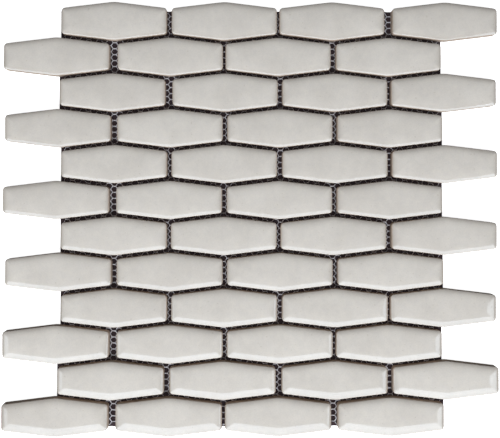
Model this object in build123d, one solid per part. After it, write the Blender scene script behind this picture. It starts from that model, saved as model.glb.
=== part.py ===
from build123d import *
from math import hypot
import os

# Mosaic sheet in millimetres: rows of stretched hexagon tiles glued on a backing mesh.
# X runs along the rows, Y across them and Z out of the glazed faces. Z = 0 is the underside of the mesh.

# One tile: a hexagon stretched along X, with an upright edge at each end and a shallow apex above and below
TILE_LENGTH = 63.9
TILE_HEIGHT = 23.4  # from apex to apex
END_EDGE = 15.6  # upright edge at each end, between its sharp corners
TILE_THICKNESS = 7.5
END_CORNER_RADIUS = 2.2
APEX_RADIUS = 20.0

# The cushioned rim of the face
CUSHION_WIDTH = 4.6  # how far it reaches in from the tile's edge
CUSHION_DROP = 0.92  # how far it has fallen below the face at the edge

# The laid pattern: every second row stands half a tile to the left
END_JOINT = 2.9  # between the upright edges of two neighbours in a row
ROW_JOINT = 2.15  # square across the slanting joint between two rows

# Each tile's drift along X from even spacing, because the tiles are laid by hand: one line for a row, from the top
LAID_DRIFT = (
    (0.4, 0.3, -1.2, 0.5),
    (-0.8, 1.0, -0.5, -0.4),
    (-0.4, 0.8, 0.4, -0.4),
    (0.2, 0.9, 0.5, 0.2),
    (0.7, 0.3, 0.4, 0.0),
    (-0.8, 0.5, 0.2, 0.0),
    (0.6, 0.0, -0.6, -0.5),
    (0.8, 0.9, 0.4, 0.3),
    (0.8, 0.3, 0.2, -1.3),
    (-0.6, 0.9, 0.3, -0.8),
    (-1.0, -0.7, -0.1, 0.0),
    (-1.0, 0.5, -0.8, 0.2),
)

# The mesh that holds the tiles from behind
MESH_THICKNESS = 0.5
MESH_TRIM = 0.4  # how far its cut edge lies inside the ends of the outer tiles

# Worked out from the sizes above
EDGE_SLOPE = (TILE_HEIGHT - END_EDGE) / TILE_LENGTH
COLUMN_PITCH = TILE_LENGTH + END_JOINT
ROW_PITCH = (TILE_HEIGHT + END_EDGE) / 2 + ROW_JOINT * hypot(1, EDGE_SLOPE)
APEX_RISE = EDGE_SLOPE * COLUMN_PITCH / 2


def hexagon_corners(length, height, end_edge):
    """Corners of a stretched hexagon about the origin, counter-clockwise from its lower right one."""
    return [
        (length / 2, -end_edge / 2),
        (length / 2, end_edge / 2),
        (0, height / 2),
        (-length / 2, end_edge / 2),
        (-length / 2, -end_edge / 2),
        (0, -height / 2),
    ]


def cushion_cutter(start, end):
    """What lies above the rounded rim along one edge of the face, reaching past both of the edge's ends."""
    start = Vector(*start, TILE_THICKNESS)
    end = Vector(*end, TILE_THICKNESS)
    along = (end - start).normalized()
    inward = Vector(0, 0, 1).cross(along)
    reach = TILE_HEIGHT
    arc = TangentArc((CUSHION_WIDTH, 0), (0, -CUSHION_DROP), tangent=(-1, 0))
    waste = Polyline(
        (0, -CUSHION_DROP),
        (-reach, -CUSHION_DROP),
        (-reach, reach),
        (CUSHION_WIDTH, reach),
        (CUSHION_WIDTH, 0),
    )
    section = Plane(origin=start - along * reach, x_dir=inward, z_dir=along)
    return extrude(section * make_face(arc + waste), (end - start).length + 2 * reach)


def make_tile():
    """One tile about the Z axis, with its flat back at Z = 0."""
    corners = hexagon_corners(TILE_LENGTH, TILE_HEIGHT, END_EDGE)
    outline = make_face(Polyline(*corners, close=True))
    apexes = outline.vertices().sort_by(Axis.Y)
    apexes = [apexes[0], apexes[-1]]
    outline = fillet(apexes, APEX_RADIUS)
    end_corners = outline.vertices().group_by(Axis.X)
    outline = fillet(end_corners[0] + end_corners[-1], END_CORNER_RADIUS)
    tile = extrude(outline, TILE_THICKNESS)
    for start, end in zip(corners, corners[1:] + corners[:1]):
        tile -= cushion_cutter(start, end)
    return tile


def even_places():
    """The evenly spaced middle of each tile, as rows from the top, each from the left."""
    rows = []
    for row, drifts in enumerate(LAID_DRIFT):
        side = 1 if row % 2 == 0 else -1
        first = side * COLUMN_PITCH / 4 - (len(drifts) - 1) * COLUMN_PITCH / 2
        y = ((len(LAID_DRIFT) - 1) / 2 - row) * ROW_PITCH
        rows.append([(first + column * COLUMN_PITCH, y) for column in range(len(drifts))])
    return rows


def laid_places():
    """The middle of each tile as laid, with the tiles' whole width centred on X = 0."""
    rows = [
        [(x + drift, y) for (x, y), drift in zip(row, drifts)]
        for row, drifts in zip(even_places(), LAID_DRIFT)
    ]
    xs = [x for row in rows for x, y in row]
    middle = (min(xs) + max(xs)) / 2
    return [[(x - middle, y) for x, y in row] for row in rows]


def block(left, right, y, height):
    """A rectangle of the mesh about a line along X."""
    return Pos((left + right) / 2, y) * Rectangle(right - left, height)


def make_mesh(places):
    """The mesh as a thin sheet, cut along the stepped outline of the laid tiles a little inside their ends."""
    corners = hexagon_corners(COLUMN_PITCH, ROW_PITCH + APEX_RISE, ROW_PITCH - APEX_RISE)
    cell = make_face(Polyline(*corners, close=True))
    pattern = Sketch() + [Pos(x, y) * cell for row in places for x, y in row]
    for row in places:
        pattern += block(row[0][0], row[-1][0], row[0][1], ROW_PITCH - APEX_RISE)
    for upper, lower in zip(places, places[1:]):
        left = max(upper[0][0], lower[0][0]) - COLUMN_PITCH / 2
        right = min(upper[-1][0], lower[-1][0]) + COLUMN_PITCH / 2
        pattern += block(left, right, (upper[0][1] + lower[0][1]) / 2, ROW_PITCH)
    outline = offset(pattern, -(END_JOINT / 2 + MESH_TRIM), kind=Kind.INTERSECTION)
    return extrude(outline, MESH_THICKNESS)


os.makedirs("parts", exist_ok=True)
tile = make_tile()
places = laid_places()
export_step(make_mesh(places), "parts/backing_mesh.step")
for row, row_places in enumerate(places, start=1):
    for column, (x, y) in enumerate(row_places, start=1):
        laid_tile = Pos(x, y, MESH_THICKNESS) * tile
        export_step(laid_tile, f"parts/tile_row{row:02d}_col{column}.step")
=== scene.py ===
import math
from collections import namedtuple

import bpy
import numpy as np
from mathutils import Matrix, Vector, noise


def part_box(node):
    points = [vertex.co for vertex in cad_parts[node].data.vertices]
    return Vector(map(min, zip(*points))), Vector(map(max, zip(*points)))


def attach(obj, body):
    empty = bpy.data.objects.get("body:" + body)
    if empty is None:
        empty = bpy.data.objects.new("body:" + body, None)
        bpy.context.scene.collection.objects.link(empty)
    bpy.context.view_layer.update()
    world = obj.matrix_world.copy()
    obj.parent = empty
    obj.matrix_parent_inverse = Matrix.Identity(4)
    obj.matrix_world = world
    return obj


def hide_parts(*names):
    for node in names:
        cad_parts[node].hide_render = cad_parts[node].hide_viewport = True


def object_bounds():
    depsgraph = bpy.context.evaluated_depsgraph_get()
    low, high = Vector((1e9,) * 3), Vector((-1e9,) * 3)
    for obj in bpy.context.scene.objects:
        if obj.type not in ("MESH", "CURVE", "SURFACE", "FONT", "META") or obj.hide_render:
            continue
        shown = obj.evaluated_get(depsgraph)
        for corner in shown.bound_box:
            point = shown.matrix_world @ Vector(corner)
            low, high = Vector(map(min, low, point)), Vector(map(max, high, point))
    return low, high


# A mosaic sheet of stretched hexagon tiles on an open net.
# Lengths are in metres unless a name says otherwise.
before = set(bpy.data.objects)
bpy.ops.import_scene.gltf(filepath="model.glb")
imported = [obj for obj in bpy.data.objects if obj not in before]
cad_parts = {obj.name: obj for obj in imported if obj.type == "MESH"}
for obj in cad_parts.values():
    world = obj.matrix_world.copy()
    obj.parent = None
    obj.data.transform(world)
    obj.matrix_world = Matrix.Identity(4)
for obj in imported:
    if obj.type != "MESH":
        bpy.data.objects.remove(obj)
cad_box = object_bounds()

MM = 0.001
TILES = sorted(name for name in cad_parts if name.startswith("tile_"))
NET_NODE = "backing_mesh"

# One tile, where its box in the frame doesn't say it
END_EDGE = 15.6 * MM  # upright edge at each end, between its sharp corners
LONG_EDGE_RISE = 3.9 * MM  # from a sharp end corner to the sharp apex, along Y
LONG_EDGE_RUN = 31.95 * MM  # and along X
EDGE_SLOPE = LONG_EDGE_RISE / LONG_EDGE_RUN
CORNER_RADIUS = 2.2 * MM
APEX_RADIUS = 20 * MM

# The glazed face: it falls ever faster towards the edge, with a small round where it turns down into the side
FALL_DEPTH = 1.083 * MM  # at the edge
FALL_REACH = 2.28 * MM  # how far inwards the fall has faded to 1/e
END_FALL = 0.45 * MM  # by how much the short ends fall further
END_FALL_REACH = 0.5 * MM
RIM_WIDTH = 6.5 * MM  # where the rim's rings end and the field's grid starts
ARRIS_WIDTH = 0.3 * MM  # of the round, seen from above
MITRE_RADIUS = 0.3 * MM  # of the soft crease that runs inwards from each corner

# How uneven it is
FACE_WAVE = 0.02 * MM  # of the poured glaze
FACE_WAVE_LENGTH = 17 * MM
FACE_RIPPLE = 0.003 * MM
FACE_RIPPLE_LENGTH = 4 * MM
FACE_LEAN = (0.004, 0.010)  # most that a face leans along X and along Y, as a slope
EDGE_WAVE = 0.10 * MM  # of the pressed edge, always inwards
EDGE_WAVE_LENGTH = 9 * MM
EDGE_WAVE_REACH = 2 * MM  # how far in from the edge it dies away

# The noise, and the places in it that the tiles use
NOISE_SEED = 1  # without a seed the noise vectors differ from run to run
SEED_STEP = 3.7  # from one tile to the next
RIPPLE_SEED = 20
EDGE_SEED = 50
LEAN_SPOT = (0.4, 0.3)

# How finely a tile is meshed
FIELD_COLUMNS = 80
FIELD_ROWS = 18
COLUMN_CROWDING = 1.6  # 1 is even, and more crowds the steps towards both ends
ROW_CROWDING = 1.5
RIM_STEPS = 14
ARRIS_STEPS = 4
SIDE_STEPS = 3
AROUND = 2 * (FIELD_COLUMNS + FIELD_ROWS)  # points in a ring
RINGS = SIDE_STEPS + ARRIS_STEPS + RIM_STEPS + 1
CLAY_BANDS = SIDE_STEPS + 1  # between rings, from the back up to the first step of the arris
SHARP_ANGLE = math.radians(50)  # edges that turn by more are shaded as sharp

# The net: flat-topped hexagon cells
CELL_SIDE = 2.11 * MM
CELL_HEIGHT = math.sqrt(3) * CELL_SIDE
CELL_STEP = 1.5 * CELL_SIDE  # from one column of cells to the next
CELL_CORNERS = ((2, 0), (1, 1), (-1, 1), (-2, 0), (-1, -1), (1, -1))  # in half sides and half heights
THREAD_WIDTH = 0.45 * MM
BAR_WIDTH = 0.75 * MM  # of the double threads that run along X
NODE_DRIFT = 0.12 * MM
NODE_NOISE_STEP = (0.37, 0.41)
NODE_SEED = 7.0
NET_SHIFT = (-0.9 * MM, -0.9 * MM)  # of the middle cell from the middle of the sheet
FACES_UP = 0.5  # least Z in the normal of a face that looks up
PLACE_DIGITS = 7  # to which two places in metres are the same

# Heights at which the glaze starts to thin and to darken with painted shade towards the edge, starts to turn
# tan, is tan and starts to bare the body, and has bared it
THINNING_AND_SHADE_TOP = 7.98 * MM
GLAZE_FULL = 7.03 * MM
GLAZE_FOOT = 6.80 * MM
BARE_TOP = 6.64 * MM
ARRIS_WANDER = 0.16 * MM  # how far these heights wander
WANDER_WAVES = 260  # to the metre

# Noise with so many waves to the metre, coloured between two stops of value and colour
Layer = namedtuple("Layer", "waves detail low high")
WHITE = (1.0, 1.0, 1.0)
CLAY_BODY = Layer(600, 4, (0.3, (0.40, 0.32, 0.26)), (0.7, (0.56, 0.465, 0.39)))
CLAY_BLOTCH = Layer(90, 2, (0.35, (0.80, 0.78, 0.75)), (0.65, WHITE))
GLAZE_CLOUDS = Layer(70, 3, (0.35, (0.588, 0.554, 0.506)), (0.65, (0.634, 0.600, 0.550)))
GLAZE_MOTTLE = Layer(330, 2, (0.3, (0.955, 0.957, 0.965)), (0.7, (1.0, 0.998, 0.99)))
GLAZE_GRAIN = Layer(1300, 1, (0.35, (0.955, 0.955, 0.955)), (0.65, WHITE))
GLAZE_SPECKS = Layer(850, 0, (0.80, WHITE), (0.84, (0.88, 0.86, 0.83)))
ARRIS_TAN = Layer(500, 2, (0.3, (0.34, 0.27, 0.21)), (0.7, (0.46, 0.385, 0.315)))
THREAD = Layer(900, 2, (0.3, (0.70, 0.70, 0.76)), (0.7, (0.93, 0.93, 0.98)))
DARKEST_BATCH = (0.975, 0.972, 0.97)  # share of the glaze's colour that the darkest tile has
THIN_GLAZE_AND_SHADE = (0.80, 0.78, 0.76)  # and that it has where it is thinnest, at the edge: partly the thinning glaze, partly painted shade
GLAZE_ROUGHNESS = 0.05
GLAZE_IOR = 1.5
GLAZE_TINT = (0.83, 0.92, 1.0)  # of its reflections
CLAY_ROUGHNESS = 0.85
THREAD_ROUGHNESS = 0.7

# The photograph's frame
IMAGE_WIDTH_PX = 500
MM_PER_PX = 0.6020
FRAME_MIDDLE = (-0.66 * MM, -0.64 * MM)  # the picture's middle on the glazed faces
CAMERA_AIM = (-6 * MM, 30 * MM)  # where the lens points, on the faces too
CAMERA_OFFSET = (-6 * MM, -15 * MM, 560 * MM)  # from that point
SENSOR_WIDTH_MM = 36.0

# The light: the middle of each lamp, its width and depth, and its radiance
LIGHT_COLOUR = (0.97, 1.0, 1.04)
PANEL_PLACE = (0, -1.318, 1.239)
PANEL_SIZE = (3.4, 1.540)
PANEL_LEAN = math.radians(43.1)
PANEL_RADIANCE = 4.72
LEFT_WING_PLACE = (-0.79, -0.28, 0.9)
LEFT_WING_SIZE = (0.55, 0.18)
LEFT_WING_RADIANCE = 2.9
RIGHT_WING_PLACE = (0.78, -0.294, 0.9)
RIGHT_WING_SIZE = (0.64, 0.252)
RIGHT_WING_RADIANCE = 3.8
ROOM_RADIANCE = 0.12

# The stage under the sheet
STAGE_ROUGHNESS = 0.9
FLOOR_REACH = 3.0
FLOOR_LEVEL = -0.6 * MM
FLOOR_COLOUR = (0.86, 0.86, 0.86)
FLOOR_GLOW = 0.95
CARD_LEVEL = -0.2 * MM
CARD_COLOUR = (0.036, 0.026, 0.029)
CARD_GLOW = 0.011
CARD_GLOW_COLOUR = (1.0, 0.72, 0.80)
CARD_GROWTH = 1.014  # along X in the notches of the outline, so that it's seen to the ends of the joints
NOTCH_DEPTH = 16 * MM  # at least this far in from the sheet's outermost ends


def new_object(name, mesh):
    """An object with this mesh, in the scene."""
    piece = bpy.data.objects.new(name, mesh)
    bpy.context.scene.collection.objects.link(piece)
    return piece


# Tile geometry


class Outline:
    """A tile's outline about its middle, moved inwards by a distance."""

    def __init__(self, length, inset):
        lean = math.atan(EDGE_SLOPE)
        self.half_length = length / 2 - inset
        self.apex = END_EDGE / 2 + EDGE_SLOPE * length / 2 - inset / math.cos(lean)
        self.apex_radius = APEX_RADIUS - inset
        self.apex_centre = self.apex - self.apex_radius / math.cos(lean)
        self.apex_reach = self.apex_radius * math.sin(lean)
        self.radius = max(CORNER_RADIUS - inset, MITRE_RADIUS)
        self.corner_x = self.half_length - self.radius
        self.corner_y = self.apex - EDGE_SLOPE * self.corner_x - self.radius / math.cos(lean)
        self.corner_reach = self.corner_x + self.radius * math.sin(lean)
        turn = (math.pi / 2 - lean) / 2
        self.middle_x = self.corner_x + self.radius * math.cos(turn)
        self.middle_y = self.corner_y + self.radius * math.sin(turn)

    def long_edge(self, x):
        """Height of the upper edge at each x, as far as the middle of the corners."""
        x = np.abs(x)
        y = self.apex - EDGE_SLOPE * x
        top = self.apex_centre + np.sqrt(np.maximum(self.apex_radius**2 - x**2, 0))
        corner = self.corner_y + np.sqrt(np.maximum(self.radius**2 - (x - self.corner_x) ** 2, 0))
        y = np.where(x < self.apex_reach, top, y)
        return np.where(x > self.corner_reach, corner, y)

    def end_edge(self, y):
        """Place of the right-hand edge at each y, as far as the middle of the corners."""
        y = np.abs(y)
        corner = self.corner_x + np.sqrt(np.maximum(self.radius**2 - (y - self.corner_y) ** 2, 0))
        return np.where(y > self.corner_y, corner, self.half_length)

    def ring(self):
        """Points round the outline, counter-clockwise from the lower left corner."""
        x = self.middle_x * FIELD_X
        y = self.middle_y * FIELD_Y
        upper = np.stack([x, self.long_edge(x)], axis=1)
        right = np.stack([self.end_edge(y), y], axis=1)
        return np.concatenate([upper[:-1] * (1, -1), right[:-1], upper[:0:-1], right[:0:-1] * (-1, 1)])


def crowd_to_ends(count, power):
    """Steps from -1 to 1 that lie closer together towards both ends."""
    t = np.linspace(-1, 1, count + 1)
    return np.sign(t) * (1 - (1 - np.abs(t)) ** power)


FIELD_X = crowd_to_ends(FIELD_COLUMNS, COLUMN_CROWDING)
FIELD_Y = crowd_to_ends(FIELD_ROWS, ROW_CROWDING)


def fall(inside):
    """Depth of the face below its middle at a distance inside the outline."""
    return FALL_DEPTH * np.exp(-inside / FALL_REACH)


def rim_profile():
    """Distance inside the outline and depth, from the foot of the arris to the field's border."""
    tilt = math.atan(fall(ARRIS_WIDTH) / FALL_REACH)
    radius = ARRIS_WIDTH / (1 - math.sin(tilt))
    profile = []
    for step in range(ARRIS_STEPS):
        turn = math.pi / 2 - (math.pi / 2 - tilt) * step / ARRIS_STEPS
        run = radius * (1 - math.sin(turn))
        profile.append((run, fall(ARRIS_WIDTH) + radius * (math.cos(tilt) - math.cos(turn))))
    for inside in np.linspace(ARRIS_WIDTH, RIM_WIDTH, RIM_STEPS + 1):
        profile.append((inside, fall(inside)))
    return profile


def wave(points, seed, length):
    """Smooth unevenness between -1 and 1 at each point."""
    return np.array([noise.noise((x / length, y / length, seed)) for x, y in points[:, :2]])


def tile_points(low, high, seed):
    """A tile's vertices about its middle: the rings from its back upwards, then the inside of the field."""
    length = high.x - low.x
    outer = Outline(length, 0)
    profile = rim_profile()
    side_height = high.z - profile[0][1] - low.z
    rings, insets = [], []
    for step in range(SIDE_STEPS):
        rings.append(np.insert(outer.ring(), 2, low.z + step / SIDE_STEPS * side_height, axis=1))
        insets.append(np.zeros(AROUND))
    for inside, depth in profile:
        rings.append(np.insert(Outline(length, inside).ring(), 2, high.z - depth, axis=1))
        insets.append(np.full(AROUND, inside))

    field = Outline(length, RIM_WIDTH)
    x = np.repeat(field.middle_x * FIELD_X[1:-1, None], FIELD_ROWS - 1, axis=1)
    y = field.long_edge(x) * FIELD_Y[None, 1:-1]
    to_long_edge = (outer.apex - EDGE_SLOPE * np.abs(x) - np.abs(y)) * math.cos(math.atan(EDGE_SLOPE))
    inside = np.minimum(to_long_edge, outer.half_length - np.abs(x)).ravel()
    rings.append(np.stack([x.ravel(), y.ravel(), high.z - fall(inside)], axis=1))
    insets.append(inside)

    verts = np.concatenate(rings)
    inside = np.concatenate(insets)
    rim = slice(SIDE_STEPS * AROUND, None)
    verts[rim, 2] -= END_FALL * np.exp((np.abs(verts[rim, 0]) - outer.half_length) / END_FALL_REACH)
    lean = np.array(noise.noise_vector((seed, *LEAN_SPOT)))[:2] * FACE_LEAN
    verts[rim, 2] += verts[rim, :2] @ lean - np.abs(lean) @ (field.half_length, field.apex)
    face = inside > ARRIS_WIDTH
    verts[face, 2] += FACE_WAVE * (wave(verts[face], seed, FACE_WAVE_LENGTH) - 1)
    verts[face, 2] += FACE_RIPPLE * (wave(verts[face], seed + RIPPLE_SEED, FACE_RIPPLE_LENGTH) - 1)
    shrink = EDGE_WAVE * (0.5 + 0.5 * wave(verts, seed + EDGE_SEED, EDGE_WAVE_LENGTH))
    shrink *= np.exp(-inside / EDGE_WAVE_REACH) / np.maximum(np.hypot(verts[:, 0], verts[:, 1]), MM)
    verts[:, :2] -= shrink[:, None] * verts[:, :2]
    return verts


def field_vertex(i, j):
    """Number of the vertex in column i and row j of the field, borders included."""
    border = (RINGS - 1) * AROUND
    if j == 0:
        return border + i
    if i == FIELD_COLUMNS:
        return border + FIELD_COLUMNS + j
    if j == FIELD_ROWS:
        return border + 2 * FIELD_COLUMNS + FIELD_ROWS - i
    if i == 0:
        return border + AROUND - j
    return border + AROUND + (i - 1) * (FIELD_ROWS - 1) + j - 1


def tile_faces():
    """A tile's faces: its back, the bands between the rings from there upwards, and the field."""
    faces = [tuple(reversed(range(AROUND)))]
    for band in range(RINGS - 1):
        for k in range(AROUND):
            a, b = band * AROUND + k, band * AROUND + (k + 1) % AROUND
            faces.append((a, b, b + AROUND, a + AROUND))
    for i in range(FIELD_COLUMNS):
        for j in range(FIELD_ROWS):
            faces.append((
                field_vertex(i, j), field_vertex(i + 1, j),
                field_vertex(i + 1, j + 1), field_vertex(i, j + 1)))
    return faces


def make_tile(node, seed):
    """One glazed tile in the place of its CAD solid."""
    low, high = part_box(node)
    verts = tile_points(low, high, seed)
    verts[:, :2] += ((low.x + high.x) / 2, (low.y + high.y) / 2)
    faces = tile_faces()
    mesh = bpy.data.meshes.new(node + "_glazed")
    mesh.from_pydata(verts.tolist(), [], faces)
    mesh.shade_smooth()
    mesh.set_sharp_from_angle(angle=SHARP_ANGLE)
    mesh.validate()
    piece = new_object(node + "_glazed", mesh)
    mesh.materials.append(glaze)
    mesh.materials.append(clay)
    clay_faces = 1 + CLAY_BANDS * AROUND
    mesh.polygons.foreach_set("material_index", [int(k < clay_faces) for k in range(len(faces))])
    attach(piece, "root")
    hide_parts(node)


# Net geometry


def net_outline():
    """The outline of the backing sheet as a polygon, read from its CAD solid's upper face."""
    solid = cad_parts[NET_NODE].data
    border = {}
    for face in solid.polygons:
        if face.normal.z < FACES_UP:
            continue
        for key in face.edge_keys:
            ends = tuple(sorted(tuple(round(c, PLACE_DIGITS) for c in solid.vertices[v].co) for v in key))
            border[ends] = border.get(ends, 0) + 1
    links = {}
    for (a, b), uses in border.items():
        if uses == 1:
            links.setdefault(a, []).append(b)
            links.setdefault(b, []).append(a)
    start = min(links)
    path = [start]
    last, here = None, start
    while True:
        step = links[here][0] if links[here][0] != last else links[here][1]
        if step == start:
            break
        path.append(step)
        last, here = here, step
    return [(p[0], p[1]) for p in path]


def inside_polygon(px, py, polygon):
    """Whether each point lies in the polygon."""
    hit = np.zeros(px.shape, bool)
    for (x0, y0), (x1, y1) in zip(polygon, polygon[1:] + polygon[:1]):
        if y0 == y1:
            continue
        crosses = (y0 > py) != (y1 > py)
        hit ^= crosses & (px < (x1 - x0) * (py - y0) / (y1 - y0) + x0)
    return hit


def node_place(key):
    """Where a node of the net lies before it drifts. Its key counts half cell sides and half cell heights."""
    return NET_SHIFT[0] + key[0] * CELL_SIDE / 2, NET_SHIFT[1] + key[1] * CELL_HEIGHT / 2


def net_cells(low, high):
    """The nodes round each cell that is whole inside the outline of the backing sheet."""
    polygon = net_outline()
    columns = int((high.x - low.x) / CELL_STEP / 2) + 2
    rows = int((high.y - low.y) / CELL_HEIGHT / 2) + 2
    cells = []
    for i in range(-columns, columns + 1):
        for j in range(-rows, rows + 1):
            keys = [(3 * i + dx, 2 * j + i % 2 + dy) for dx, dy in CELL_CORNERS]
            px, py = np.array([node_place(key) for key in keys]).T
            if inside_polygon(px, py, polygon).all():
                cells.append(keys)
    return cells


def make_net():
    """The open net: threads along the edges of its cells, each thickest along its middle line."""
    low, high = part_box(NET_NODE)
    hole = np.array((1 - THREAD_WIDTH / CELL_HEIGHT, 1 - BAR_WIDTH / CELL_HEIGHT))
    verts, faces = [], []
    nodes, rims = {}, {}
    for keys in net_cells(low, high):
        for key in keys:
            if key not in nodes:
                spot = Vector((*np.multiply(key, NODE_NOISE_STEP), NODE_SEED))
                drift = noise.noise_vector(spot) * NODE_DRIFT
                x, y = node_place(key)
                nodes[key] = len(verts)
                verts.append((x + drift.x, y + drift.y, high.z))
                verts.append((x + drift.x, y + drift.y, low.z))
        ring = [nodes[key] for key in keys]
        middle = np.mean([verts[k][:2] for k in ring], axis=0)
        inner = []
        for k in ring:
            x, y = middle + hole * (np.array(verts[k][:2]) - middle)
            inner.append(len(verts))
            verts.append((x, y, (low.z + high.z) / 2))
        for k in range(len(ring)):
            n = (k + 1) % len(ring)
            faces.append((ring[k], ring[n], inner[n], inner[k]))
            faces.append((ring[n] + 1, ring[k] + 1, inner[k], inner[n]))
            side = (min(ring[k], ring[n]), max(ring[k], ring[n]))
            rims[side] = None if side in rims else (ring[k], ring[n])
    for ends in rims.values():
        if ends:
            k, n = ends
            faces.append((n, k, k + 1, n + 1))
    mesh = bpy.data.meshes.new("backing_net")
    mesh.from_pydata(verts, [], faces)
    mesh.shade_smooth()
    mesh.validate()
    piece = new_object("backing_net", mesh)
    mesh.materials.append(net_thread)
    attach(piece, "root")
    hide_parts(NET_NODE)


# Materials


def new_material(name):
    """A node material and its principled shader."""
    material = bpy.data.materials.new(name)
    material.use_nodes = True
    return material, material.node_tree.nodes["Principled BSDF"]


def add_node(material, kind, **values):
    """A shader node with the given sockets or properties set."""
    node = material.node_tree.nodes.new(kind)
    for key, value in values.items():
        if key in node.inputs:
            node.inputs[key].default_value = value
        else:
            setattr(node, key, value)
    return node


def noise_at(material, waves, detail=2):
    """Noise over the sheet, with this many waves to the metre."""
    place = add_node(material, "ShaderNodeTexCoord")
    node = add_node(material, "ShaderNodeTexNoise", Scale=waves, Detail=detail)
    material.node_tree.links.new(place.outputs["Object"], node.inputs["Vector"])
    return node.outputs["Fac"]


def ramp(material, source, low, high):
    """Colour that goes from one (value, colour) stop to the other as the source rises."""
    node = add_node(material, "ShaderNodeValToRGB")
    material.node_tree.links.new(source, node.inputs["Fac"])
    for element, (value, colour) in zip(node.color_ramp.elements, (low, high)):
        element.position = value
        element.color = (*colour, 1)
    return node.outputs["Color"]


def paint(material, layer):
    """The colour of a layer over the sheet."""
    return ramp(material, noise_at(material, layer.waves, layer.detail), layer.low, layer.high)


def mix(material, factor, a, b, blend="MIX"):
    """Blend of two colours. The factor is a number or comes from a node."""
    node = add_node(material, "ShaderNodeMix", data_type="RGBA", blend_type=blend)
    link = material.node_tree.links.new
    if isinstance(factor, float):
        node.inputs["Factor"].default_value = factor
    else:
        link(factor, node.inputs["Factor"])
    link(a, node.inputs["A"])
    link(b, node.inputs["B"])
    return node.outputs["Result"]


def rise(material, source, low, high):
    """A smooth step from 0 to 1 as the source goes from low to high."""
    node = add_node(material, "ShaderNodeMapRange", interpolation_type="SMOOTHSTEP")
    material.node_tree.links.new(source, node.inputs["Value"])
    node.inputs["From Min"].default_value = low
    node.inputs["From Max"].default_value = high
    return node.outputs["Result"]


def clay_colour(material):
    """Fired tan body, grained and blotched."""
    return mix(material, 1.0, paint(material, CLAY_BODY), paint(material, CLAY_BLOTCH), "MULTIPLY")


def glaze_height(material):
    """Height on the tile, wandering a little from place to place."""
    link = material.node_tree.links.new
    place = add_node(material, "ShaderNodeTexCoord")
    split = add_node(material, "ShaderNodeSeparateXYZ")
    link(place.outputs["Object"], split.inputs["Vector"])
    level = add_node(material, "ShaderNodeMath", operation="MULTIPLY_ADD")
    link(noise_at(material, WANDER_WAVES), level.inputs[0])
    level.inputs[1].default_value = ARRIS_WANDER
    link(split.outputs["Z"], level.inputs[2])
    return level.outputs["Value"]


def glaze_material():
    """Glossy warm grey-white glaze, darker towards every edge partly from thinning and partly from painted
    shade, that thins to tan and then to the bare body over the arris.
    """
    material, shader = new_material("glaze")
    tile = add_node(material, "ShaderNodeObjectInfo")
    batch = ramp(material, tile.outputs["Random"], (0.0, DARKEST_BATCH), (1.0, WHITE))
    height = glaze_height(material)
    # Painted shade in part: the colour darkens by up to a fifth towards every edge of the face, on top of the
    # glaze's real thinning there
    thinned_and_shaded_edge = ramp(material, rise(material, height, GLAZE_FULL, THINNING_AND_SHADE_TOP), (0.0, THIN_GLAZE_AND_SHADE), (1.0, WHITE))
    mottle, grain, specks = (paint(material, layer) for layer in (GLAZE_MOTTLE, GLAZE_GRAIN, GLAZE_SPECKS))
    colour = paint(material, GLAZE_CLOUDS)
    for layer in (mottle, grain, batch, specks, thinned_and_shaded_edge):
        colour = mix(material, 1.0, colour, layer, "MULTIPLY")
    thin = rise(material, height, GLAZE_FOOT, GLAZE_FULL)
    colour = mix(material, thin, paint(material, ARRIS_TAN), colour)
    bare = rise(material, height, BARE_TOP, GLAZE_FOOT)
    colour = mix(material, bare, clay_colour(material), colour)
    material.node_tree.links.new(colour, shader.inputs["Base Color"])
    shader.inputs["Roughness"].default_value = GLAZE_ROUGHNESS
    shader.inputs["IOR"].default_value = GLAZE_IOR
    shader.inputs["Specular Tint"].default_value = (*GLAZE_TINT, 1)
    return material


def matt_material(name, colour_of, roughness):
    """A matt finish whose colour a function gives."""
    material, shader = new_material(name)
    material.node_tree.links.new(colour_of(material), shader.inputs["Base Color"])
    shader.inputs["Roughness"].default_value = roughness
    return material


def thread_colour(material):
    """Pale grey."""
    return paint(material, THREAD)


def stage_material(name, colour, glow, glow_colour=WHITE):
    """A plain finish that glows, for the stage."""
    material, shader = new_material(name)
    shader.inputs["Base Color"].default_value = (*colour, 1)
    shader.inputs["Roughness"].default_value = STAGE_ROUGHNESS
    shader.inputs["Specular IOR Level"].default_value = 0
    shader.inputs["Emission Color"].default_value = (*glow_colour, 1)
    shader.inputs["Emission Strength"].default_value = glow
    return material


# Stage, light and camera


def flat_sheet(name, corners, level):
    """An object that is one flat face with these corners."""
    mesh = bpy.data.meshes.new(name)
    mesh.from_pydata([(x, y, level) for x, y in corners], [], [tuple(range(len(corners)))])
    return new_object(name, mesh)


def make_floor():
    """A wide pale floor just under the sheet, which neither lights it nor shows in the glaze."""
    corners = [(x * FLOOR_REACH, y * FLOOR_REACH) for x, y in ((-1, -1), (1, -1), (1, 1), (-1, 1))]
    floor = flat_sheet("floor", corners, FLOOR_LEVEL)
    floor.data.materials.append(stage_material("pale_floor", FLOOR_COLOUR, FLOOR_GLOW))
    floor.visible_diffuse = False
    floor.visible_glossy = False


def make_card():
    """The dark card that shows through the net."""
    notch = cad_box[1][0] - NOTCH_DEPTH
    corners = [(x * CARD_GROWTH if abs(x) < notch else x, y) for x, y in net_outline()]
    card = flat_sheet("dark_card", corners, CARD_LEVEL)
    card.data.materials.append(stage_material("dark_card", CARD_COLOUR, CARD_GLOW, CARD_GLOW_COLOUR))


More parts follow.
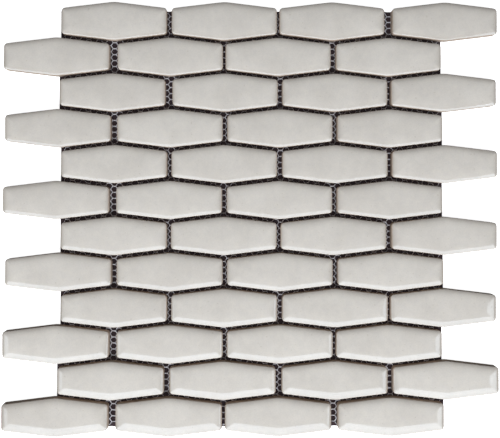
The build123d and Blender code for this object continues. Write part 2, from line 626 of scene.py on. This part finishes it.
def make_lamp(name, place, size, radiance, lean=0.0, glossy_only=False):
    """A flat light that faces down, leant over about X by an angle."""
    light = bpy.data.lights.new(name, "AREA")
    light.shape = "RECTANGLE"
    light.size, light.size_y = size
    light.energy = math.pi * radiance * size[0] * size[1]
    light.color = LIGHT_COLOUR
    lamp = bpy.data.objects.new(name, light)
    lamp.location = place
    lamp.rotation_euler = (lean, 0, 0)
    lamp.visible_camera = False
    lamp.visible_diffuse = not glossy_only
    bpy.context.scene.collection.objects.link(lamp)


def make_light():
    """A wide soft panel far beyond the lower edge of the view, a wing at each side and a dim room."""
    make_lamp("panel", PANEL_PLACE, PANEL_SIZE, PANEL_RADIANCE, lean=PANEL_LEAN)
    make_lamp("left_wing", LEFT_WING_PLACE, LEFT_WING_SIZE, LEFT_WING_RADIANCE, glossy_only=True)
    make_lamp("right_wing", RIGHT_WING_PLACE, RIGHT_WING_SIZE, RIGHT_WING_RADIANCE, glossy_only=True)
    world = bpy.data.worlds.new("room")
    world.use_nodes = True
    background = world.node_tree.nodes["Background"]
    background.inputs["Color"].default_value = (*WHITE, 1)
    background.inputs["Strength"].default_value = ROOM_RADIANCE
    bpy.context.scene.world = world


def make_camera():
    """Down on the glazed faces, with the sheet filling the photograph's frame."""
    camera = bpy.data.cameras.new("camera")
    camera.sensor_fit = "HORIZONTAL"
    camera.sensor_width = SENSOR_WIDTH_MM
    offset = Vector(CAMERA_OFFSET)
    frame_width = IMAGE_WIDTH_PX * MM_PER_PX * MM
    camera.lens = SENSOR_WIDTH_MM * offset.length / frame_width
    camera.shift_x = (FRAME_MIDDLE[0] - CAMERA_AIM[0]) / frame_width
    camera.shift_y = (FRAME_MIDDLE[1] - CAMERA_AIM[1]) / frame_width
    holder = bpy.data.objects.new("camera", camera)
    holder.location = Vector((*CAMERA_AIM, cad_box[1][2])) + offset
    holder.rotation_euler = (-math.asin(offset.y / offset.length), math.atan2(offset.x, offset.z), 0)
    bpy.context.scene.collection.objects.link(holder)
    bpy.context.scene.camera = holder


noise.seed_set(NOISE_SEED)
bpy.context.scene.view_settings.view_transform = "Standard"
glaze = glaze_material()
clay = matt_material("fired_clay", clay_colour, CLAY_ROUGHNESS)
net_thread = matt_material("net_thread", thread_colour, THREAD_ROUGHNESS)
for number, node in enumerate(TILES):
    make_tile(node, SEED_STEP * number)
make_net()
make_floor()
make_card()
make_light()
make_camera()
